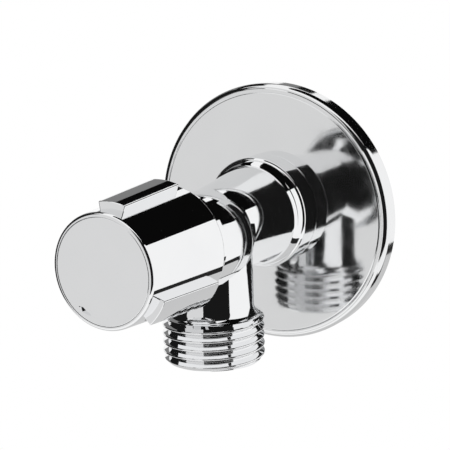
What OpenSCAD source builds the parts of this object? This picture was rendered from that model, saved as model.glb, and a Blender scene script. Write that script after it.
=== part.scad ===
// Wall-mounted angle valve with a ribbed knob that turns and does not rise.
// Origin: on the valve axis, in the plane of the wall. +Y points into the wall, +Z up, and the
// valve stands out of the wall along -Y. Its outlet points down. All lengths are millimetres.
// In the helper out() a piece's own Z is its distance from the wall, called d below.

/* [Threads] */
// Outer radius of the G 1/2 male threads at inlet and outlet
thread_r = 10.48; // [10.3:0.02:10.6] standard thread, a narrow band
// Chamfer at the free end of each thread
thread_chamfer = 1.0; // [0.6:0.1:1.2] half a thread pitch and a little
// Length of the inlet thread behind the wall
inlet_len = 15; // [10:0.5:25] what wall fittings take
// Radius of the inlet's waterway
inlet_bore_r = 6.5; // [5.5:0.1:7] keeps wall under the thread
// Radius of the plain relief that carries the rosette
relief_r = 10.0; // [9.4:0.1:10.2] below the thread

/* [Rosette] */
// Outer radius of the rosette
rosette_r = 28; // [25:0.5:35] usual cover sizes
// Depth of the rosette from wall to front face
rosette_depth = 4.1; // [3:0.1:8] flat to deep
// Thickness of the rosette's sheet
rosette_sheet = 0.6; // [0.4:0.1:1] pressed sheet
// Radius of the rosette's hole
rosette_hole_r = 11.0; // [10.7:0.1:11.4] passes the thread
// Distance that the rosette sits to the right of the valve axis
rosette_right = 0.3; // [0:0.05:0.35] as it happened to be fitted
// Distance that the rosette hangs below the valve axis
rosette_drop = 0.9; // [0.5:0.05:0.95] hole edge near the relief
// Width of the raised ring inside the rosette's rim
rosette_ring_w = 0.85; // [0.5:0.05:1.2] pressed bead

/* [Body] */
// Radius of the collar in front of the rosette
collar_r = 12.0; // [11.7:0.1:13] covers the rosette's hole
// Distance of the collar's front edge from the wall
collar_front = 9.6; // [8:0.1:11] length of the collar
// Tube radius where the collar's flare ends
tube_root_r = 10.4; // [10:0.1:11] thick end of the taper
// Tube radius where its taper slows
tube_mid_r = 9.6; // [9.2:0.1:10] middle of the taper
// Tube radius under the knob
tube_tip_r = 8.6; // [8.4:0.05:9] thin end of the taper
// Radius of the rounded chamber
belly_r = 9.8; // [9.4:0.1:10.2] outer size of the chamber
// Distance of the chamber's axis below the valve axis
belly_drop = 1.4; // [0.8:0.1:2] lets the tube run over its top
// Distance of the chamber's round rear end centre from the wall
belly_centre = 29.5; // [28.5:0.1:31] behind the outlet neck's front
// Radius of the boss that takes the bonnet
boss_r = 10.3; // [10:0.1:10.5] inside the knob
// Distance of the boss's front face from the wall
boss_front = 46; // [45.5:0.5:47] carries the seal

/* [Outlet] */
// Distance of the outlet's axis from the wall
outlet_out = 27.7; // [26:0.1:29] middle of the chamber
// Length of the outlet from the valve axis to its end
outlet_len = 26.9; // [25:0.1:32] leaves room for a nut
// Outer radius of the plain neck
neck_r = 8.42; // [8:0.02:9] below the thread's root
// Length of the outlet's thread
outlet_thread_len = 9.2; // [8:0.1:12] takes a nut
// Radius of the outlet's mouth
outlet_mouth_r = 6.3; // [6:0.1:6.6] keeps wall under the thread
// Depth of the outlet's mouth
outlet_mouth_len = 10; // [8:0.5:12] up to the chamber's floor
// Radius of the narrower way between the chamber and the outlet's mouth
outlet_throat_r = 5.5; // [5:0.1:5.8] free way for water

/* [Seat] */
// Radius of the seat opening
seat_r = 4.6; // [4:0.1:4.8] free way through the seat
// Distance of the seat's face from the wall
seat_out = 20.6; // [20:0.1:21] behind the outlet
// Height of the seat's raised lip
seat_lip = 0.7; // [0.4:0.1:1] sharp enough to seal
// Radius of the chamber's bore
chamber_r = 7.2; // [7:0.05:7.3] room around the slide

/* [Bonnet] */
// Radius of the bonnet's thread in the mouth
mouth_r = 8.33; // [8.2:0.01:8.4] G 3/8 thread
// Width across the flats of the bonnet's hexagon
bonnet_af = 17; // [16:0.5:17.5] wrench size
// Thickness of the bonnet's hexagon
bonnet_hex_t = 5; // [4:0.5:5.5] wrench grip
// Thickness of the seal under the hexagon
seal_t = 1.0; // [0.8:0.1:1.4] flat ring

/* [Spindle and slide] */
// Radius of the spindle's journal
journal_r = 3.5; // [3.3:0.05:3.6] turning fit
// Radius of the spindle's thread
screw_r = 2.9; // [2.7:0.05:3] inside the slide
// Travel of the slide from closed to open
lift = 4; // [3:0.5:4] free way at the seat
// Width across the flats of the slide's hexagon
slide_af = 8; // [7.6:0.1:8.2] keeps the slide from turning
// Radius of the slide's round part
plunger_r = 5.9; // [5.7:0.05:5.95] runs in the bonnet
// Radius of the slide's plate
plate_r = 6.6; // [6.3:0.05:6.8] clears the chamber
// Thickness of the seat washer
washer_t = 2.6; // [2:0.1:3] rubber disc
// Cord thickness of the O-rings
cord_t = 1.06; // [1:0.02:1.1] small cord

/* [Knob] */
// Distance of the knob's rear rim from the wall
knob_rear = 42.4; // [42:0.1:43] gap behind the knob
// Distance of the knob's flat face from the wall
knob_front = 65.35; // [65:0.05:66] sticks out this far
// Outer radius of the knob at its rear rim
knob_rear_r = 12.3; // [12.1:0.05:12.6] wide end of the draft
// Outer radius of the knob at its nose
knob_nose_r = 11.17; // [11.1:0.05:11.4] narrow end of the draft
// Wall thickness of the knob's shell
knob_wall = 1.2; // [1:0.05:1.3] moulded wall
// Turn of the knob from upright, seen from the front, clockwise
knob_turn = 5.2; // [0:0.2:10] as the valve was left
// Number of grip ribs
rib_count = 3; // [3:1:6] evenly spread
// Width of each grip rib
rib_w = 6.0; // [4:0.1:6.5] finger grip
// Outer radius of the ribs in front
rib_front_r = 12.85; // [12.4:0.05:13] above the nose
// Outer radius of the ribs at the rear
rib_rear_r = 13.85; // [13.2:0.05:14.1] above the rear rim
// Distance of the ribs' front ends from the wall
rib_front = 63; // [61:0.1:63.4] behind the flat face
// Distance of the ribs' rear ends from the wall
rib_rear = 45.4; // [44:0.1:47] ahead of the rear rim
// Radius of the cap in the knob's nose
cap_r = 10.3; // [10:0.05:10.35] fills the nose
// Direction of the cap's pry notch, from the right and upwards
notch_at = 241; // [0:1:359] lower left as seen
// Distance of the pry notch from the cap's middle
notch_r = 8.9; // [6:0.1:9.2] near the cap's edge
// Length of the pry notch
notch_len = 3.2; // [2:0.1:4] takes a small blade

/* [Hidden] */
chrome = [0.86, 0.87, 0.89];
brass = [0.78, 0.62, 0.32];
rubber = [0.1, 0.1, 0.11];
steel = [0.66, 0.67, 0.69];
white_plastic = [0.93, 0.93, 0.9];
fine = 120;
medium = 72;
coarse = 48;
bite = 0.02;
run_gap = 0.05;
tap_gap = 0.05;
rest_gap = 0.05;
flat_cos = cos(30);

// body stations, as distances from the wall or from the valve axis
thread_front = 1.4;
collar_round = 0.8;
collar_flare_d = 2.6;
tube_mid_d = 18.5;
tube_tip_d = 29;
tube_end_d = 40;
belly_front = 41;
belly_chamfer = 1.2;
boss_rear = 38.4;
boss_cone = 1.4;
mouth_rear = 37.6;
web_rear = 17.4;
lip_w = 0.8;
neck_top = 3;
throat_top = 2;
flare_rise = 1.6;
flare_r = 10.0;
outlet_thread_top = outlet_len - outlet_thread_len;

// bonnet stations
bonnet_rear = 32.4;
bonnet_sleeve_r = 6.95;
bonnet_thread_rear = 39;
bonnet_hex_rear = boss_front + seal_t;
bonnet_hex_front = bonnet_hex_rear + bonnet_hex_t;
bonnet_front = bonnet_hex_front + 1.6;
bonnet_neck_r = 5.6;
guide_rear = 38.8;
guide_front = 42.9;
guide_af = slide_af + 2 * run_gap;
flange_r = 4.6;
flange_rear = 45.2;
flange_front = 46;
shoulder = 46.8;

// slide stations, closed
recess_t = washer_t - 0.8;
plate_rear = seat_out + 0.8;
plate_front = plate_rear + recess_t + 1.4;
washer_r = plate_r - 0.7;
plunger_front = plate_front + 10;
slide_front = 41;
slide_bore_end = 27.9;
screw_hole_end = 26.9;
pin_r = 1.45;
pin_head_r = 2.8;
pin_head_t = 1.7;
slide_ring_at = plunger_front - 1.1;

// spindle stations
spindle_end = slide_bore_end + lift + 0.2;
washer_gap = 0.04;
ring_seat = bonnet_front + rest_gap;
ring_t = 0.6;
ring_groove_r = 2.9;
ring_out_r = 4.8;
spline_rear = bonnet_front + 1.2;
spline_front = 58.6;
spline_tip_r = 3.4;
spline_root_r = 3.05;
spline_teeth = 20;
o_ring_inner_at = 48;
o_ring_outer_at = 51;
tap_end = 52.2;

// knob stations
draft = (knob_rear_r - knob_nose_r) / (knob_front - knob_rear - 0.65);
nose_at = knob_front - 0.65;
face_round = 0.65;
hub_r = 6.9;
bush_r = 5.0;
bush_front = 59;
web_t = 2.2;
web_front = 60.4;
cap_plate_t = 1.7;
skirt_t = 0.7;
notch_w = 0.9;
notch_deep = 0.5;
head_r = 3.5;
head_t = 2.2;
lock_t = 0.6;

function shell_r(d) = knob_rear_r - draft * (d - knob_rear);
function rib_r(d) = rib_rear_r + (rib_front_r - rib_rear_r) * (d - rib_rear) / (rib_front - rib_rear);
function arc(cx, cy, r, from, to, steps) = [
    for (i = [0 : steps])
        let (a = from + (to - from) * i / steps)
            [cx + r * cos(a), cy + r * sin(a)]
];
function star(tip, root, teeth) = [
    for (i = [0 : 4 * teeth - 1])
        let (a = 90 * i / teeth)
            let (r = i % 4 < 2 ? tip : root)
                [r * cos(a), r * sin(a)]
];

// puts a shape's own Z on the valve axis, pointing away from the wall
module out(d = 0) {
    translate([0, -d, 0])
        rotate([90, 0, 0])
            children();
}

// the same, turned with the knob
module out_turned(d = 0) {
    out(d)
        rotate([0, 0, -knob_turn])
            children();
}

// puts a shape's own Z on the outlet's axis, pointing down from the valve axis
module down() {
    translate([0, -outlet_out, 0])
        rotate([180, 0, 0])
            children();
}

// solid of revolution between two distances
module rod(r, from, to, facets = medium) {
    translate([0, 0, from])
        cylinder(h = to - from, r = r, $fn = facets);
}

module hex_rod(af, from, to) {
    translate([0, 0, from])
        cylinder(h = to - from, r = af / 2 / flat_cos, $fn = 6);
}

module o_ring(inner_r, at) {
    out_turned(at)
        rotate_extrude($fn = coarse)
            translate([inner_r + cord_t / 2, 0])
                circle(r = cord_t / 2, $fn = 24);
}

// inlet spigot, relief, collar, flare and tapered tube as one outline
module tube_outline() {
    flare_top = collar_front + collar_flare_d;
    polygon(concat(
        [[0, -inlet_len], [thread_r - thread_chamfer, -inlet_len], [thread_r, thread_chamfer - inlet_len],
            [thread_r, thread_front], [relief_r, thread_front + thread_r - relief_r],
            [relief_r, rosette_depth], [collar_r - 0.3, rosette_depth], [collar_r, rosette_depth + 0.3]],
        arc(collar_r - collar_round, collar_front - collar_round, collar_round, 0, 70, 5),
        arc(tube_root_r + collar_flare_d, flare_top, collar_flare_d, 225, 180, 6),
        [[tube_mid_r, tube_mid_d], [tube_tip_r, tube_tip_d], [tube_tip_r, tube_end_d], [0, tube_end_d]]
    ));
}

module belly_outline() {
    polygon(concat(
        arc(0, belly_centre, belly_r, -90, 0, 16),
        [[belly_r, belly_front - belly_chamfer], [belly_r - belly_chamfer, belly_front], [0, belly_front]]
    ));
}

module neck_outline() {
    flare_end = outlet_thread_top - 0.4;
    flare_start = flare_end - flare_rise;
    polygon([
        [0, neck_top], [neck_r, neck_top], [neck_r, flare_start], [neck_r + 0.35, flare_start + 0.8],
        [flare_r, flare_end], [thread_r, outlet_thread_top],
        [thread_r, outlet_len - thread_chamfer], [thread_r - thread_chamfer, outlet_len], [0, outlet_len]
    ]);
}

module valve_body() {
    color(chrome)
    difference() {
        union() {
            out()
                rotate_extrude($fn = fine)
                    tube_outline();
            translate([0, 0, -belly_drop])
                out()
                    rotate_extrude($fn = fine)
                        belly_outline();
            out() {
                translate([0, 0, boss_rear - boss_cone])
                    cylinder(h = boss_cone, r1 = boss_r - boss_cone, r2 = boss_r, $fn = fine);
                rod(boss_r, boss_rear, boss_front, fine);
            }
            down()
                rotate_extrude($fn = fine)
                    neck_outline();
        }
        out() {
            rod(inlet_bore_r, -inlet_len - 1, web_rear);
            rod(seat_r, web_rear - 1, seat_out + 1);
            difference() {
                rod(chamber_r, seat_out - seat_lip, mouth_rear + 1);
                rod(seat_r + lip_w, seat_out - seat_lip - 1, seat_out);
            }
            rod(mouth_r, mouth_rear, boss_front + 1);
        }
        down() {
            rod(outlet_throat_r, throat_top, outlet_len);
            rod(outlet_mouth_r, outlet_len - outlet_mouth_len, outlet_len + 1);
        }
    }
}

// outline of the pressed cup, face and rounded rim, then the same inside the sheet
module rosette_outline() {
    t = rosette_sheet;
    turn_r = 1.2;
    ring_out = rosette_r - 0.95;
    ring_in = ring_out - rosette_ring_w;
    polygon(concat(
        [[rosette_hole_r, rosette_depth - t], [rosette_hole_r, rosette_depth],
            [ring_in - 0.15, rosette_depth], [ring_in, rosette_depth - 0.14], [ring_in + 0.1, rosette_depth],
            [ring_out - 0.1, rosette_depth - 0.05], [ring_out, rosette_depth - 0.22]],
        arc(rosette_r - turn_r, rosette_depth - 0.2 - turn_r, turn_r, 70, 0, 7),
        [[rosette_r, 0], [rosette_r - t, 0]],
        arc(rosette_r - turn_r, rosette_depth - 0.2 - turn_r, turn_r - t, 0, 90, 5),
        [[ring_in - 0.8, rosette_depth - t]]
    ));
}

module rosette() {
    color(chrome)
    translate([rosette_right, 0, -rosette_drop])
        out()
            rotate_extrude($fn = fine)
                rosette_outline();
}

module bonnet() {
    thread = mouth_r - tap_gap;
    color(brass)
    out()
        difference() {
            union() {
                rod(bonnet_sleeve_r, bonnet_rear, bonnet_thread_rear + bite);
                rod(thread, bonnet_thread_rear, bonnet_hex_rear + bite);
                intersection() {
                    hex_rod(bonnet_af, bonnet_hex_rear, bonnet_hex_front);
                    translate([0, 0, bonnet_hex_rear])
                        cylinder(
                            h = bonnet_hex_t,
                            r1 = bonnet_af / 2 / flat_cos + 3,
                            r2 = bonnet_af / 2 + 0.2,
                            $fn = medium
                        );
                }
                rod(bonnet_neck_r, bonnet_hex_front - bite, bonnet_front);
            }
            rod(plunger_r + run_gap, bonnet_rear - 1, guide_rear);
            hex_rod(guide_af, guide_rear - 1, guide_front + 1);
            rod(flange_r + 3 * run_gap, guide_front, shoulder);
            rod(journal_r + run_gap, shoulder - 1, bonnet_front + 1);
        }
}

module bonnet_seal() {
    color(rubber)
    out()
        difference() {
            rod(boss_r - 0.3, boss_front, bonnet_hex_rear);
            rod(mouth_r + 0.1, boss_front - 1, bonnet_hex_rear + 1);
        }
}

module thrust_washer() {
    color(white_plastic)
    out()
        difference() {
            rod(flange_r, flange_front + washer_gap, shoulder);
            rod(journal_r + 0.1, flange_front - 1, shoulder + 1);
        }
}

module spindle() {
    groove_r = journal_r - cord_t + run_gap / 2;
    groove_w = cord_t * 1.3;
    color(brass)
    out_turned()
        difference() {
            union() {
                rod(screw_r, spindle_end, flange_rear + bite);
                rod(flange_r, flange_rear, flange_front);
                rod(journal_r, flange_front - bite, spline_rear);
                translate([0, 0, spline_rear - bite])
                    linear_extrude(height = spline_front - spline_rear + bite)
                        polygon(star(spline_tip_r, spline_root_r, spline_teeth));
            }
            for (at = [o_ring_inner_at, o_ring_outer_at])
                difference() {
                    rod(journal_r + 1, at - groove_w / 2, at + groove_w / 2);
                    rod(groove_r, at - groove_w, at + groove_w);
                }
            difference() {
                rod(journal_r + 1, ring_seat, ring_seat + ring_t + run_gap);
                rod(ring_groove_r, ring_seat - 1, ring_seat + ring_t + 1);
            }
            rod(2, tap_end, spline_front + 1);
        }
}

module spindle_o_ring_inner() {
    color(rubber)
    o_ring(journal_r - cord_t + run_gap / 2, o_ring_inner_at);
}

module spindle_o_ring_outer() {
    color(rubber)
    o_ring(journal_r - cord_t + run_gap / 2, o_ring_outer_at);
}

module retaining_ring() {
    lug_r = 1.1;
    mouth_angle = 30;
    color(steel)
    out_turned(ring_seat)
        difference() {
            union() {
                cylinder(h = ring_t, r = ring_out_r - 0.6, $fn = medium);
                for (side = [-1, 1])
                    rotate([0, 0, side * mouth_angle])
                        translate([ring_out_r - lug_r, 0, 0])
                            cylinder(h = ring_t, r = lug_r, $fn = coarse);
            }
            translate([0, 0, -1])
                cylinder(h = ring_t + 2, r = ring_groove_r + run_gap, $fn = medium);
            translate([0, -1.1, -1])
                cube([ring_out_r + 1, 2.2, ring_t + 2]);
            for (side = [-1, 1])
                rotate([0, 0, side * mouth_angle])
                    translate([ring_out_r - lug_r, 0, -1])
                        cylinder(h = ring_t + 2, r = 0.5, $fn = 24);
        }
}

module valve_slide() {
    groove_r = plunger_r - cord_t + run_gap / 2;
    groove_w = cord_t * 1.3;
    color(brass)
    out()
        difference() {
            union() {
                rod(plate_r, plate_rear, plate_front);
                rod(plunger_r, plate_front - bite, plunger_front);
                hex_rod(slide_af, plunger_front - bite, slide_front);
            }
            rod(washer_r + run_gap, plate_rear - 1, plate_rear + recess_t);
            rod(screw_r + run_gap, slide_bore_end, slide_front + 1, coarse);
            rod(pin_r + tap_gap, plate_rear, screw_hole_end, coarse);
            difference() {
                rod(plunger_r + 1, slide_ring_at - groove_w / 2, slide_ring_at + groove_w / 2);
                rod(groove_r, slide_ring_at - groove_w, slide_ring_at + groove_w);
            }
        }
}

module slide_o_ring() {
    color(rubber)
    out(slide_ring_at)
        rotate_extrude($fn = medium)
            translate([plunger_r - cord_t / 2 + run_gap / 2, 0])
                circle(r = cord_t / 2, $fn = 24);
}

module seat_washer() {
    color(rubber)
    out()
        difference() {
            rod(washer_r, seat_out, seat_out + washer_t);
            rod(pin_r + run_gap, seat_out - 1, seat_out + washer_t + 1, coarse);
        }
}

module washer_screw() {
    slot_w = 0.8;
    color(steel)
    out()
        difference() {
            union() {
                rod(pin_head_r, seat_out - pin_head_t, seat_out, coarse);
                rod(pin_r, seat_out - bite, screw_hole_end - 0.4, coarse);
            }
            translate([-pin_head_r - 1, -slot_w / 2, seat_out - pin_head_t - 1])
                cube([2 * pin_head_r + 2, slot_w, 1.8]);
        }
}

// shell, web and hub of the knob, seen as half a section
module knob_outline() {
    inner_nose = cap_r + run_gap;
    polygon(concat(
        [[shell_r(knob_rear) - knob_wall, knob_rear + 0.3], [shell_r(knob_rear) - knob_wall + 0.3, knob_rear],
            [shell_r(knob_rear) - 0.35, knob_rear], [shell_r(knob_rear), knob_rear + 0.35]],
        arc(knob_nose_r - face_round, nose_at, face_round, 0, 78, 6),
        [[inner_nose, knob_front], [inner_nose, web_front], [2.2, web_front], [2.2, bush_front],
            [bush_r, bush_front], [bush_r, spline_rear + 0.2], [hub_r, spline_rear + 0.2],
            [hub_r, web_front - web_t - 0.5], [hub_r + 0.5, web_front - web_t],
            [shell_r(web_front) - knob_wall - 0.5, web_front - web_t],
            [shell_r(web_front) - knob_wall, web_front - web_t - 0.5]]
    ));
}

module rib_outline() {
    edge = 0.5;
    polygon([
        [shell_r(rib_rear) - 0.6, rib_rear], [rib_r(rib_rear) - edge, rib_rear],
        [rib_r(rib_rear) - 0.15, rib_rear + 0.15], [rib_r(rib_rear), rib_rear + edge],
        [rib_r(rib_front), rib_front - edge], [rib_r(rib_front) - 0.15, rib_front - 0.15],
        [rib_r(rib_front) - edge, rib_front], [shell_r(rib_front) - 0.5, rib_front]
    ]);
}

module knob() {
    color(chrome)
    out_turned() {
        rotate_extrude($fn = fine)
            knob_outline();
        for (i = [0 : rib_count - 1])
            rotate([0, 0, 90 + i * 360 / rib_count])
                intersection() {
                    rotate_extrude($fn = fine)
                        rib_outline();
                    translate([shell_r(rib_front) - 1.6, -rib_w / 2, rib_rear - 1])
                        cube([4, rib_w, rib_front - rib_rear + 2]);
                }
    }
}

module knob_bush() {
    color(brass)
    out_turned()
        difference() {
            rod(bush_r, spline_rear + 0.2, bush_front);
            translate([0, 0, spline_rear - 1])
                linear_extrude(height = bush_front - spline_rear + 2)
                    polygon(star(spline_tip_r + run_gap, spline_root_r + run_gap, spline_teeth));
        }
}

module lock_washer() {
    color(steel)
    out_turned(web_front)
        difference() {
            cylinder(h = lock_t, r = head_r, $fn = medium);
            translate([0, 0, -1])
                cylinder(h = lock_t + 2, r = 2.15, $fn = medium);
        }
}

module handle_screw() {
    head_rear = web_front + lock_t;
    shank_r = 1.95;
    slot_w = 0.9;
    slot_t = 1.3;
    color(steel)
    out_turned()
        difference() {
            union() {
                rod(shank_r, tap_end + 1, head_rear + bite, coarse);
                rod(head_r, head_rear, head_rear + head_t);
            }
            for (turn = [0, 90])
                rotate([0, 0, turn])
                    translate([-2, -slot_w / 2, head_rear + head_t - slot_t])
                        cube([4, slot_w, slot_t + 1]);
        }
}

module front_cap() {
    plate_back = knob_front - cap_plate_t;
    edge = 0.12;
    bow = (notch_len * notch_len / 4 + notch_w * notch_w / 4) / notch_w;
    color(chrome)
    out_turned()
        difference() {
            rotate_extrude($fn = fine)
                polygon([
                    [0, plate_back], [cap_r - skirt_t, plate_back], [cap_r - skirt_t, web_front],
                    [cap_r - 0.25, web_front], [cap_r, web_front + 0.6],
                    [cap_r, knob_front - edge], [cap_r - edge, knob_front], [0, knob_front]
                ]);
            rotate([0, 0, notch_at + knob_turn])
                intersection_for (side = [-1, 1])
                    translate([notch_r + side * (bow - notch_w / 2), 0, knob_front - notch_deep])
                        cylinder(h = notch_deep + 1, r = bow, $fn = fine);
        }
}

valve_body();
rosette();
bonnet();
bonnet_seal();
thrust_washer();
spindle();
spindle_o_ring_inner();
spindle_o_ring_outer();
retaining_ring();
valve_slide();
slide_o_ring();
seat_washer();
washer_screw();
knob();
knob_bush();
lock_washer();
handle_screw();
front_cap();
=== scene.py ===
"""Looks of a chrome angle valve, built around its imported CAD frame.

Lengths below are millimetres in the valve's own frame: the wall is the plane y = 0, the valve
stands out of it along -Y, its outlet points down, and "out" means the distance from the wall.
"""
import math

import bmesh
import bpy
from mathutils import Matrix, Vector

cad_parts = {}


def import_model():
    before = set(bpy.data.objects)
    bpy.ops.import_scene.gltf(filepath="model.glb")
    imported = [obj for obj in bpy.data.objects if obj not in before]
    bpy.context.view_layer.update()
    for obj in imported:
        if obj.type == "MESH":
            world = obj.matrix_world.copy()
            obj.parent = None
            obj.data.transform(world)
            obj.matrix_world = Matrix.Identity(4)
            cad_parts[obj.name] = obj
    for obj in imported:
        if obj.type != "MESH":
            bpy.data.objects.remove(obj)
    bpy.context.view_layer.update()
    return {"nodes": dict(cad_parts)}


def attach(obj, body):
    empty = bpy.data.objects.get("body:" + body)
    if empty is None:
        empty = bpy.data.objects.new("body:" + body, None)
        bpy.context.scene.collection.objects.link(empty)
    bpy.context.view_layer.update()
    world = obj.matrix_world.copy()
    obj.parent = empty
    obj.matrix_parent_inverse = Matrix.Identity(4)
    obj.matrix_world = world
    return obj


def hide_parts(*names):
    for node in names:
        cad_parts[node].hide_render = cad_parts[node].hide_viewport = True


MM = 0.001
VALVE_AXIS = (0.0, 1.0, 0.0)
UP = (0.0, 0.0, 1.0)

# threads
THREAD_R = 10.48
THREAD_ROOT_R = 9.32
THREAD_PITCH = 1.814
THREAD_CHAMFER = 1.0
INLET_LEN = 15.0
THREAD_FRONT = 1.4
RELIEF_R = 10.0
INLET_BORE_R = 6.5

# rosette
ROSETTE_R = 28.0
ROSETTE_OUT = 4.1
SHEET = 0.6
ROSETTE_HOLE_R = 11.0
ROSETTE_RIGHT = 0.3
ROSETTE_DROP = 0.9
RING_W = 0.85

# valve body
COLLAR_R = 12.0
COLLAR_OUT = 9.6
TUBE_ROOT = (10.4, 12.2)
TUBE_MID = (9.6, 18.5)
TUBE_TIP = (8.6, 29.0)
BELLY_R = 9.8
BELLY_DROP = 1.4
BELLY_CENTRE = 29.5
BELLY_END = 41.0
BOSS_R = 10.3
BOSS_REAR = 38.4
BOSS_FRONT = 46.0
CHAMBER_R = 7.2
MOUTH_R = 8.33
SEAT_R = 4.6
OUTLET_OUT = 27.7
OUTLET_LEN = 26.9
NECK_R = 8.42
FLARE_R = 10.0
OUTLET_THREAD_TOP = 17.7
OUTLET_MOUTH_R = 6.3
OUTLET_MOUTH_TOP = 16.9
OUTLET_THROAT_R = 5.5
OUTLET_THROAT_TOP = 2.0

# knob
KNOB_REAR = 42.4
KNOB_FRONT = 65.35
KNOB_REAR_R = 12.3
KNOB_NOSE_R = 11.17
KNOB_WALL = 1.2
NOSE_ROUND = 0.65
KNOB_TURN = 5.2
RIB_FRONT = 63.0
RIB_REAR = 45.4
RIB_FRONT_R = 12.85
RIB_REAR_R = 13.85
RIB_HALF_ANGLE = 13.4
RIB_EDGE = 0.42
CAP_R = 10.3
NOTCH_AT = 241.0
NOTCH_R = 8.9
NOTCH_LEN = 3.2
NOTCH_W = 0.9
NOTCH_DEEP = 0.5
WEB_FRONT = 60.4
WEB_REAR = 58.2
HUB_R = 6.9
HUB_REAR = 55.0
BUSH_R = 5.0
BUSH_FRONT = 59.0

ROUND_STEPS = 192


# ---------------------------------------------------------------- small workshop tools

def deselect_all():
    if bpy.context.mode != "OBJECT":
        bpy.ops.object.mode_set(mode="OBJECT")
    bpy.ops.object.select_all(action="DESELECT")


def take(piece):
    """Makes piece the only selected and active object."""
    deselect_all()
    piece.select_set(True)
    bpy.context.view_layer.objects.active = piece


def arc(centre_r, centre_out, radius, start, end, steps):
    """Points of an arc in an outline, angles in degrees from the outward direction."""
    points = []
    for i in range(steps + 1):
        a = math.radians(start + (end - start) * i / steps)
        points.append((centre_r + radius * math.cos(a), centre_out + radius * math.sin(a)))
    return points


def on_valve_axis(point):
    radius, out = point
    return Vector((radius, -out, 0.0)) * MM


def on_outlet_axis(point):
    radius, below = point
    return Vector((radius, -OUTLET_OUT, -below)) * MM


def draw_outline(name, corners):
    """One vertex, extruded from corner to corner."""
    deselect_all()
    bpy.ops.mesh.primitive_plane_add(size=MM, location=corners[0])
    piece = bpy.context.active_object
    piece.name = name
    bpy.ops.object.transform_apply(location=True, rotation=True, scale=True)
    bpy.ops.object.mode_set(mode="EDIT")
    bpy.ops.mesh.select_all(action="SELECT")
    bpy.ops.mesh.merge(type="CENTER")
    for here, there in zip(corners, corners[1:]):
        bpy.ops.mesh.extrude_region_move(TRANSFORM_OT_translate={"value": there - here})
    return piece


def spin_round(centre, axis, steps=ROUND_STEPS, degrees=360.0):
    """Spins the outline in edit mode, then closes its seam."""
    bpy.ops.mesh.select_all(action="SELECT")
    bpy.ops.mesh.spin(
        steps=steps, angle=math.radians(degrees), center=centre, axis=axis, use_auto_merge=False
    )
    bpy.ops.mesh.select_all(action="SELECT")
    bpy.ops.mesh.remove_doubles(threshold=0.0005 * MM)
    bpy.ops.mesh.dissolve_degenerate(threshold=0.0005 * MM)


def face_outward():
    bpy.ops.mesh.select_all(action="SELECT")
    bpy.ops.mesh.normals_make_consistent(inside=False)
    bpy.ops.object.mode_set(mode="OBJECT")


def turned(name, outline, place=on_valve_axis, centre=(0.0, 0.0, 0.0), axis=VALVE_AXIS):
    """A closed piece of revolution from an outline that starts and ends on its axis, or a ring."""
    corners = [place(p) for p in outline]
    piece = draw_outline(name, corners)
    spin_round(centre, axis)
    face_outward()
    return piece


def ring_outline(outline):
    return outline + [outline[0]]


def apply_modifier(piece, modifier):
    take(piece)
    bpy.ops.object.modifier_apply(modifier=modifier.name)


def combine(piece, tool, operation):
    """Unites, cuts or intersects piece with tool, which is used up."""
    modifier = piece.modifiers.new("combine", "BOOLEAN")
    modifier.operation = operation
    modifier.solver = "EXACT"
    modifier.object = tool
    apply_modifier(piece, modifier)
    bpy.data.objects.remove(tool)


def round_edges(piece, width, segments, angle):
    modifier = piece.modifiers.new("round edges", "BEVEL")
    modifier.width = width * MM
    modifier.segments = segments
    modifier.limit_method = "ANGLE"
    modifier.angle_limit = math.radians(angle)
    modifier.use_clamp_overlap = True
    apply_modifier(piece, modifier)


def polish(piece, crease=32.0):
    """Smooth shading that keeps creases crisp and large faces true."""
    take(piece)
    bpy.ops.object.shade_smooth_by_angle(angle=math.radians(crease))
    modifier = piece.modifiers.new("true normals", "WEIGHTED_NORMAL")
    modifier.mode = "FACE_AREA"
    modifier.weight = 80
    modifier.keep_sharp = True
    apply_modifier(piece, modifier)


def cylinder(name, radius, start, end, vertices=96):
    """A plain cylinder used up as a cutting tool, between two points."""
    start = Vector(start) * MM
    end = Vector(end) * MM
    along = end - start
    deselect_all()
    bpy.ops.mesh.primitive_cylinder_add(
        vertices=vertices,
        radius=radius * MM,
        depth=along.length,
        location=(start + end) / 2,
        rotation=along.to_track_quat("Z", "Y").to_euler(),
    )
    piece = bpy.context.active_object
    piece.name = name
    bpy.ops.object.transform_apply(location=True, rotation=True, scale=True)
    return piece


# ---------------------------------------------------------------- threads

def thread_profile():
    """One pitch of a rounded 55 degree thread, from root to root, as (radius, height)."""
    nose = 0.137 * THREAD_PITCH
    flank = 62.5
    root = arc(THREAD_ROOT_R + nose, 0.0, nose, 180, 180 - flank, 3)
    crest = arc(THREAD_R - nose, THREAD_PITCH / 2, nose, -flank, flank, 6)
    last_root = arc(THREAD_ROOT_R + nose, THREAD_PITCH, nose, 180 + flank, 180, 3)
    return root + crest + last_root


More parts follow.
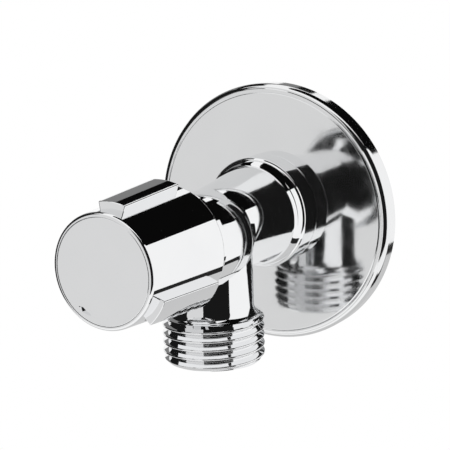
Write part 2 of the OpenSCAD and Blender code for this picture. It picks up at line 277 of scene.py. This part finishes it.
def threaded_rod(name, length, start_angle):
    """A solid right-handed thread along +Z from z = 0, with a chamfer at its far end."""
    corners = [Vector((r, 0.0, z - 2 * THREAD_PITCH)) * MM for r, z in thread_profile()]
    piece = draw_outline(name, corners)
    bpy.ops.object.mode_set(mode="OBJECT")
    winding = piece.modifiers.new("winding", "SCREW")
    winding.axis = "Z"
    winding.angle = math.radians(360)
    winding.screw_offset = THREAD_PITCH * MM
    winding.iterations = int(length / THREAD_PITCH) + 5
    winding.steps = 96
    winding.render_steps = 96
    winding.use_merge_vertices = True
    winding.merge_threshold = 0.0005 * MM
    apply_modifier(piece, winding)
    bpy.ops.object.mode_set(mode="EDIT")
    bpy.ops.mesh.select_all(action="SELECT")
    bpy.ops.mesh.remove_doubles(threshold=0.0005 * MM)
    bpy.ops.mesh.bisect(
        plane_co=(0.0, 0.0, 0.0), plane_no=UP, use_fill=True, clear_inner=True, threshold=1e-8
    )
    bpy.ops.mesh.select_all(action="SELECT")
    bpy.ops.mesh.bisect(
        plane_co=(0.0, 0.0, length * MM), plane_no=UP, use_fill=True, clear_outer=True, threshold=1e-8
    )
    face_outward()
    limit = turned(
        "chamfer limit",
        [
            (0.0, -1.0), (THREAD_R + 0.02, -1.0), (THREAD_R + 0.02, length - THREAD_CHAMFER),
            (THREAD_R - THREAD_CHAMFER + 0.02, length + 0.0001), (0.0, length + 0.0001),
        ],
        place=lambda p: Vector((p[0], 0.0, p[1])) * MM,
        axis=UP,
    )
    combine(piece, limit, "INTERSECT")
    piece.data.transform(Matrix.Rotation(math.radians(start_angle), 4, "Z"))
    return piece


def place_mesh(piece, matrix):
    piece.data.transform(matrix)
    piece.data.update()


# ---------------------------------------------------------------- pieces

def tube_outline():
    collar_round = 0.8
    flare = 2.6
    outline = [
        (0.0, 0.5), (RELIEF_R, 0.5), (RELIEF_R, ROSETTE_OUT),
        (COLLAR_R - 0.3, ROSETTE_OUT), (COLLAR_R - 0.08, ROSETTE_OUT + 0.08),
        (COLLAR_R, ROSETTE_OUT + 0.3),
    ]
    outline += arc(COLLAR_R - collar_round, COLLAR_OUT - collar_round, collar_round, 0, 70, 8)
    outline += arc(TUBE_ROOT[0] + flare, TUBE_ROOT[1], flare, 222, 182, 10)
    outline += smooth_run([TUBE_ROOT, TUBE_MID, TUBE_TIP], 12)
    outline += [
        (TUBE_TIP[0], 37.0), (BOSS_R, BOSS_REAR), (BOSS_R, BOSS_FRONT - 0.3),
        (BOSS_R - 0.3, BOSS_FRONT), (0.0, BOSS_FRONT),
    ]
    return outline


def smooth_run(points, steps):
    """A soft curve through three outline points."""
    (r0, d0), (r1, d1), (r2, d2) = points
    run = []
    for i in range(1, steps + 1):
        d = d0 + (d2 - d0) * i / steps
        w0 = (d - d1) * (d - d2) / ((d0 - d1) * (d0 - d2))
        w1 = (d - d0) * (d - d2) / ((d1 - d0) * (d1 - d2))
        w2 = (d - d0) * (d - d1) / ((d2 - d0) * (d2 - d1))
        run.append((r0 * w0 + r1 * w1 + r2 * w2, d))
    return run


def make_body():
    """Casting with tube, rounded chamber, outlet neck, both threads and all bores."""
    body = turned("body_casting", tube_outline())
    belly = turned(
        "belly",
        arc(0.0, BELLY_CENTRE, BELLY_R, -90, 0, 40)
        + [(BELLY_R, BELLY_END - 1.2), (BELLY_R - 1.2, BELLY_END), (0.0, BELLY_END)],
    )
    place_mesh(belly, Matrix.Translation((0.0, 0.0, -BELLY_DROP * MM)))
    combine(body, belly, "UNION")
    flare_end = OUTLET_THREAD_TOP - 0.4
    neck = turned(
        "neck",
        [(0.0, 3.0), (NECK_R, 3.0), (NECK_R, flare_end - 2.2)]
        + arc(NECK_R + 2.4, flare_end - 2.0, 2.4, 180, 128, 8)
        + [(FLARE_R, flare_end), (THREAD_ROOT_R + 0.1, OUTLET_THREAD_TOP + 0.5), (0.0, OUTLET_THREAD_TOP + 0.5)],
        place=on_outlet_axis,
        centre=(0.0, -OUTLET_OUT * MM, 0.0),
        axis=UP,
    )
    combine(body, neck, "UNION")
    outlet = threaded_rod("outlet thread", OUTLET_LEN - OUTLET_THREAD_TOP, 40.0)
    down = Matrix.Rotation(math.pi, 4, "X")
    place_mesh(outlet, Matrix.Translation((0.0, -OUTLET_OUT * MM, -OUTLET_THREAD_TOP * MM)) @ down)
    combine(body, outlet, "UNION")
    inlet = threaded_rod("inlet thread", INLET_LEN + THREAD_FRONT, 0.0)
    inward = Matrix.Rotation(-math.pi / 2, 4, "X")
    place_mesh(inlet, Matrix.Translation((0.0, -THREAD_FRONT * MM, 0.0)) @ inward)
    combine(body, inlet, "UNION")
    cut_bores(body)
    polish(body)
    return body


def cut_bores(body):
    waterway = turned(
        "waterway",
        [
            (0.0, -INLET_LEN - 1), (INLET_BORE_R, -INLET_LEN - 1), (INLET_BORE_R, 17.4),
            (SEAT_R, 17.4), (SEAT_R, 20.6), (SEAT_R + 0.8, 20.6), (SEAT_R + 0.8, 19.9),
            (CHAMBER_R, 19.9), (CHAMBER_R, 37.6), (MOUTH_R, 37.6), (MOUTH_R, BOSS_FRONT + 1),
            (0.0, BOSS_FRONT + 1),
        ],
    )
    combine(body, waterway, "DIFFERENCE")
    outlet = turned(
        "outlet bore",
        [
            (0.0, OUTLET_THROAT_TOP), (OUTLET_THROAT_R, OUTLET_THROAT_TOP),
            (OUTLET_THROAT_R, OUTLET_MOUTH_TOP), (OUTLET_MOUTH_R, OUTLET_MOUTH_TOP),
            (OUTLET_MOUTH_R, OUTLET_LEN + 1), (0.0, OUTLET_LEN + 1),
        ],
        place=on_outlet_axis,
        centre=(0.0, -OUTLET_OUT * MM, 0.0),
        axis=UP,
    )
    combine(body, outlet, "DIFFERENCE")


def make_rosette():
    """Pressed sheet cup with a raised ring and a rounded rim."""
    turn_r = 1.2
    ring_out = ROSETTE_R - 0.95
    ring_in = ring_out - RING_W
    bend_out = ROSETTE_OUT - 0.2 - turn_r
    outline = [
        (ROSETTE_HOLE_R, ROSETTE_OUT - SHEET), (ROSETTE_HOLE_R, ROSETTE_OUT - 0.08),
        (ROSETTE_HOLE_R + 0.08, ROSETTE_OUT), (ring_in - 0.22, ROSETTE_OUT),
        (ring_in - 0.12, ROSETTE_OUT - 0.03), (ring_in, ROSETTE_OUT - 0.13),
        (ring_in + 0.1, ROSETTE_OUT - 0.02), (ring_in + 0.2, ROSETTE_OUT),
        (ring_out - 0.25, ROSETTE_OUT - 0.03), (ring_out - 0.1, ROSETTE_OUT - 0.07),
        (ring_out, ROSETTE_OUT - 0.22),
    ]
    outline += arc(ROSETTE_R - turn_r, bend_out, turn_r, 68, 0, 10)
    outline += [(ROSETTE_R, 0.0), (ROSETTE_R - SHEET, 0.0)]
    outline += arc(ROSETTE_R - turn_r, bend_out, turn_r - SHEET, 0, 90, 6)
    outline += [(ring_in - 0.8, ROSETTE_OUT - SHEET)]
    rosette = turned("wall_rosette", ring_outline(outline))
    place_mesh(rosette, Matrix.Translation(Vector((ROSETTE_RIGHT, 0.0, -ROSETTE_DROP)) * MM))
    polish(rosette)
    return rosette


def shell_r(out):
    slope = (KNOB_REAR_R - KNOB_NOSE_R) / (KNOB_FRONT - NOSE_ROUND - KNOB_REAR)
    return KNOB_REAR_R - slope * (out - KNOB_REAR)


def knob_outline():
    lip_r = CAP_R + 0.05
    rear = shell_r(KNOB_REAR)
    outline = [(rear - KNOB_WALL, KNOB_REAR + 0.3), (rear - KNOB_WALL + 0.3, KNOB_REAR)]
    outline += arc(rear - 0.32, KNOB_REAR + 0.32, 0.32, -90, 0, 5)
    outline += arc(KNOB_NOSE_R - NOSE_ROUND, KNOB_FRONT - NOSE_ROUND, NOSE_ROUND, 0, 84, 10)
    outline += [
        (lip_r, KNOB_FRONT), (lip_r, WEB_FRONT), (2.2, WEB_FRONT), (2.2, BUSH_FRONT),
        (BUSH_R, BUSH_FRONT), (BUSH_R, HUB_REAR), (HUB_R, HUB_REAR), (HUB_R, WEB_REAR - 0.5),
        (HUB_R + 0.5, WEB_REAR), (shell_r(WEB_FRONT) - KNOB_WALL - 0.5, WEB_REAR),
        (shell_r(WEB_FRONT) - KNOB_WALL, WEB_REAR - 0.5),
    ]
    return ring_outline(outline)


def make_rib(angle):
    """One grip rib, a sector of a turned ring with rounded edges."""
    outline = [
        (shell_r(RIB_REAR) - 0.6, RIB_REAR), (RIB_REAR_R, RIB_REAR),
        (RIB_FRONT_R, RIB_FRONT), (shell_r(RIB_FRONT) - 0.5, RIB_FRONT),
    ]
    rib = draw_outline("rib", [on_valve_axis(p) for p in ring_outline(outline)])
    spin_round((0.0, 0.0, 0.0), VALVE_AXIS, steps=24, degrees=2 * RIB_HALF_ANGLE)
    bpy.ops.mesh.select_all(action="SELECT")
    bpy.ops.mesh.fill_holes(sides=0)
    face_outward()
    round_edges(rib, RIB_EDGE, 5, 50)
    middle = first_direction(rib)
    place_mesh(rib, Matrix.Rotation(middle - math.radians(angle), 4, "Y"))
    return rib


def first_direction(piece):
    """Angle of a sector's middle, from +X towards +Z."""
    total = Vector((0.0, 0.0, 0.0))
    for vertex in piece.data.vertices:
        total += vertex.co
    return math.atan2(total.z, total.x)


def make_knob():
    knob = turned("knob_grip", knob_outline())
    for count in range(3):
        combine(knob, make_rib(90.0 - KNOB_TURN + 120.0 * count), "UNION")
    polish(knob)
    return knob


def make_cap():
    """Cover plate of the knob's nose, with its clip skirt and pry notch."""
    plate = KNOB_FRONT - 1.7
    outline = [
        (0.0, plate), (CAP_R - 0.7, plate), (CAP_R - 0.7, WEB_FRONT),
        (CAP_R - 0.25, WEB_FRONT), (CAP_R, WEB_FRONT + 0.6),
    ]
    outline += arc(CAP_R - 0.15, KNOB_FRONT - 0.15, 0.15, 0, 90, 4)
    outline += [(0.0, KNOB_FRONT)]
    cap = turned("nose_cap", outline)
    combine(cap, make_notch_tool(), "DIFFERENCE")
    polish(cap)
    return cap


def make_notch_tool():
    """Lens between two cylinders, for the pocket that takes a small blade."""
    bow = (NOTCH_LEN ** 2 + NOTCH_W ** 2) / (4 * NOTCH_W)
    direction = Vector((math.cos(math.radians(NOTCH_AT)), 0.0, math.sin(math.radians(NOTCH_AT))))
    halves = []
    for side in (-1, 1):
        centre = direction * (NOTCH_R + side * (bow - NOTCH_W / 2))
        floor = centre + Vector((0.0, NOTCH_DEEP - KNOB_FRONT, 0.0))
        top = centre + Vector((0.0, -KNOB_FRONT - 1.0, 0.0))
        halves.append(cylinder("notch side", bow, floor, top))
    combine(halves[0], halves[1], "INTERSECT")
    return halves[0]


# ---------------------------------------------------------------- materials

def new_material(name):
    material = bpy.data.materials.new(name)
    material.use_nodes = True
    nodes = material.node_tree.nodes
    links = material.node_tree.links
    shader = nodes["Principled BSDF"]
    return material, nodes, links, shader


def coordinates(nodes, links, scale):
    texture = nodes.new("ShaderNodeTexCoord")
    mapping = nodes.new("ShaderNodeMapping")
    mapping.inputs["Scale"].default_value = scale
    links.new(texture.outputs["Object"], mapping.inputs["Vector"])
    return mapping.outputs["Vector"]


def noise(nodes, links, vector, scale, detail):
    texture = nodes.new("ShaderNodeTexNoise")
    texture.inputs["Scale"].default_value = scale
    texture.inputs["Detail"].default_value = detail
    links.new(vector, texture.inputs["Vector"])
    return texture.outputs["Fac"]


def spread(nodes, links, value, low, high):
    remap = nodes.new("ShaderNodeMapRange")
    remap.inputs["From Min"].default_value = 0.3
    remap.inputs["From Max"].default_value = 0.7
    remap.inputs["To Min"].default_value = low
    remap.inputs["To Max"].default_value = high
    links.new(value, remap.inputs["Value"])
    return remap.outputs["Result"]


def tint(nodes, links, value, dark, light):
    mix = nodes.new("ShaderNodeMix")
    mix.data_type = "RGBA"
    mix.inputs[6].default_value = dark + (1.0,)
    mix.inputs[7].default_value = light + (1.0,)
    links.new(value, mix.inputs[0])
    return mix.outputs[2]


def relief(nodes, links, value, strength, distance):
    bump = nodes.new("ShaderNodeBump")
    bump.inputs["Strength"].default_value = strength
    bump.inputs["Distance"].default_value = distance
    links.new(value, bump.inputs["Height"])
    return bump.outputs["Normal"]


def metal(name, dark, light, rough, wave, scale=(1.0, 1.0, 1.0), grain=400.0, strength=0.02):
    """A metal whose colour, roughness and surface vary a little all over."""
    material, nodes, links, shader = new_material(name)
    vector = coordinates(nodes, links, scale)
    slow = noise(nodes, links, vector, wave, 2.0)
    fine = noise(nodes, links, vector, grain, 4.0)
    shader.inputs["Metallic"].default_value = 1.0
    links.new(tint(nodes, links, slow, dark, light), shader.inputs["Base Color"])
    links.new(spread(nodes, links, fine, rough[0], rough[1]), shader.inputs["Roughness"])
    links.new(relief(nodes, links, fine, strength, 0.0001), shader.inputs["Normal"])
    return material


def soft(name, dark, light, rough, grain):
    """Rubber or plain plastic with a fine grain."""
    material, nodes, links, shader = new_material(name)
    vector = coordinates(nodes, links, (1.0, 1.0, 1.0))
    fine = noise(nodes, links, vector, grain, 5.0)
    links.new(tint(nodes, links, fine, dark, light), shader.inputs["Base Color"])
    links.new(spread(nodes, links, fine, rough[0], rough[1]), shader.inputs["Roughness"])
    links.new(relief(nodes, links, fine, 0.15, 0.0001), shader.inputs["Normal"])
    return material


def finish_with(piece, material):
    piece.data.materials.clear()
    piece.data.materials.append(material)


# ---------------------------------------------------------------- studio

def card(name, corners, brightness):
    """A plain studio card, seen only in reflections."""
    deselect_all()
    bpy.ops.mesh.primitive_plane_add(size=1.0)
    sheet = bpy.context.active_object
    sheet.name = name
    order = [0, 1, 3, 2]
    for index, corner in zip(order, corners):
        sheet.data.vertices[index].co = corner
    material = bpy.data.materials.new(name + " finish")
    material.use_nodes = True
    nodes = material.node_tree.nodes
    nodes.clear()
    glow = nodes.new("ShaderNodeEmission")
    glow.inputs["Color"].default_value = (brightness, brightness, brightness, 1.0)
    output = nodes.new("ShaderNodeOutputMaterial")
    material.node_tree.links.new(glow.outputs[0], output.inputs["Surface"])
    sheet.data.materials.append(material)
    sheet.visible_camera = False
    return sheet


def make_floor():
    deselect_all()
    bpy.ops.mesh.primitive_plane_add(size=12.0, location=(0.0, 0.0, -0.25))
    floor = bpy.context.active_object
    floor.name = "studio floor"
    material = bpy.data.materials.new("floor finish")
    material.use_nodes = True
    nodes = material.node_tree.nodes
    links = material.node_tree.links
    nodes.clear()
    path = nodes.new("ShaderNodeLightPath")
    either = nodes.new("ShaderNodeMath")
    either.operation = "MAXIMUM"
    links.new(path.outputs["Is Camera Ray"], either.inputs[0])
    links.new(path.outputs["Is Glossy Ray"], either.inputs[1])
    paint = nodes.new("ShaderNodeBsdfDiffuse")
    paint.inputs["Color"].default_value = (0.8, 0.8, 0.8, 1.0)
    glow = nodes.new("ShaderNodeEmission")
    glow.inputs["Color"].default_value = (1.0, 1.0, 1.0, 1.0)
    mix = nodes.new("ShaderNodeMixShader")
    output = nodes.new("ShaderNodeOutputMaterial")
    links.new(either.outputs[0], mix.inputs[0])
    links.new(paint.outputs[0], mix.inputs[1])
    links.new(glow.outputs[0], mix.inputs[2])
    links.new(mix.outputs[0], output.inputs["Surface"])
    floor.data.materials.append(material)


def make_world():
    world = bpy.data.worlds.new("studio air")
    bpy.context.scene.world = world
    world.use_nodes = True
    nodes = world.node_tree.nodes
    links = world.node_tree.links
    nodes.clear()
    path = nodes.new("ShaderNodeLightPath")
    either = nodes.new("ShaderNodeMath")
    either.operation = "MAXIMUM"
    links.new(path.outputs["Is Camera Ray"], either.inputs[0])
    links.new(path.outputs["Is Glossy Ray"], either.inputs[1])
    dim = nodes.new("ShaderNodeBackground")
    dim.inputs["Color"].default_value = (0.6, 0.6, 0.6, 1.0)
    white = nodes.new("ShaderNodeBackground")
    white.inputs["Color"].default_value = (1.0, 1.0, 1.0, 1.0)
    mix = nodes.new("ShaderNodeMixShader")
    output = nodes.new("ShaderNodeOutputWorld")
    links.new(either.outputs[0], mix.inputs[0])
    links.new(dim.outputs[0], mix.inputs[1])
    links.new(white.outputs[0], mix.inputs[2])
    links.new(mix.outputs[0], output.inputs["Surface"])


def make_cards():
    high = 0.6
    back, front = 2.5, -0.2

    def overhead(name, x_right, x_left, brightness):
        card(
            name,
            [(x_left, front, high), (x_right, front, high), (x_right, back, high), (x_left, back, high)],
            brightness,
        )

    overhead("dark flag over the valve", 0.74, -0.16, 0.003)
    overhead("strip over the left", -0.16, -0.35, 1.0)
    overhead("dark flag over the left", -0.35, -0.64, 0.003)
    overhead("grey card over the left", -0.64, -2.5, 0.22)
    reach = 0.55
    ring = (
        ("dark flag at the left", 168, 228, 0.01),
        ("grey card before the knob", 228, 273, 0.75),
        ("dark flag beside the camera", 274, 346, 0.01),
    )
    for name, start, end, brightness in ring:
        a, b = [
            (reach * math.cos(math.radians(turn)), reach * math.sin(math.radians(turn)))
            for turn in (start, end)
        ]
        card(name, [(*a, -0.24), (*b, -0.24), (*b, 0.45), (*a, 0.45)], brightness)
    below = -0.245
    edge, strip = 0.175, 0.245
    rear, far = -0.1, 2.0
    for name, left, right, brightness in (
        ("grey card under the valve", -1.2, edge, 0.62),
        ("dark strip under the valve", edge, strip, 0.02),
    ):
        card(name, [(left, rear, below), (right, rear, below), (right, far, below), (left, far, below)], brightness)


def make_camera():
    data = bpy.data.cameras.new("camera")
    camera = bpy.data.objects.new("camera", data)
    bpy.context.scene.collection.objects.link(camera)
    data.lens = 120.0
    data.sensor_width = 36.0
    data.shift_x = 0.0050
    data.shift_y = -0.0058
    data.clip_start = 0.01
    data.clip_end = 50.0
    right = Vector((0.85447929, 0.51861798, -0.03000911))
    up = Vector((-0.08542719, 0.1972614, 0.9766218))
    back = Vector((0.51241326, -0.8319395, 0.21285986))
    turn = Matrix((right, up, back)).transposed().to_4x4()
    camera.matrix_world = Matrix.Translation(Vector((158.2, -279.7, 66.5)) * MM) @ turn
    bpy.context.scene.camera = camera


def make_lamps():
    for name, place, power, size in (
        ("soft lamp right", (0.9, -0.3, 0.7), 6.0, 0.7),
        ("soft lamp left", (-0.9, -0.8, 0.6), 4.0, 0.8),
    ):
        data = bpy.data.lights.new(name, "AREA")
        data.energy = power
        data.size = size
        lamp = bpy.data.objects.new(name, data)
        bpy.context.scene.collection.objects.link(lamp)
        lamp.location = place
        lamp.rotation_euler = (-Vector(place)).to_track_quat("-Z", "Y").to_euler()
        lamp.visible_camera = False
        lamp.visible_glossy = False


# ---------------------------------------------------------------- assembly

def main():
    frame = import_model()
    nodes = frame["nodes"]

    chrome = metal("polished chrome", (0.86, 0.865, 0.875), (0.9, 0.905, 0.91), (0.02, 0.05), 120.0)
    chrome_sheet = metal(
        "brushed chrome sheet", (0.83, 0.835, 0.84), (0.88, 0.885, 0.89), (0.05, 0.1), 90.0
    )
    brass = metal("machined brass", (0.62, 0.42, 0.16), (0.75, 0.55, 0.25), (0.22, 0.34), 200.0)
    steel = metal("plain steel", (0.48, 0.48, 0.49), (0.58, 0.58, 0.6), (0.25, 0.4), 200.0)
    rubber = soft("black rubber", (0.02, 0.02, 0.021), (0.035, 0.035, 0.036), (0.5, 0.7), 900.0)
    ptfe = soft("white plastic", (0.78, 0.78, 0.75), (0.85, 0.85, 0.82), (0.35, 0.5), 500.0)

    made = (
        (make_body(), "valve", "valve_body", "body_chrome", chrome),
        (make_rosette(), "valve", "rosette", "rosette_chrome", chrome_sheet),
        (make_knob(), "handle", "knob", "knob_chrome", chrome),
        (make_cap(), "handle", "front_cap", "cap_chrome", chrome),
    )
    for piece, body, node, slot, material in made:
        finish_with(piece, material)
        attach(piece, body)
        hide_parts(node)

    kept = {
        brass: ("bonnet", "spindle", "valve_slide", "knob_bush"),
        steel: ("retaining_ring", "washer_screw", "lock_washer", "handle_screw"),
        rubber: ("bonnet_seal", "spindle_o_ring_inner", "spindle_o_ring_outer", "slide_o_ring", "seat_washer"),
        ptfe: ("thrust_washer",),
    }
    for material, names in kept.items():
        for name in names:
            finish_with(nodes[name], material)

    make_floor()
    make_world()
    make_cards()
    make_lamps()
    make_camera()
    bpy.context.scene.view_settings.view_transform = "Standard"

    deselect_all()


main()
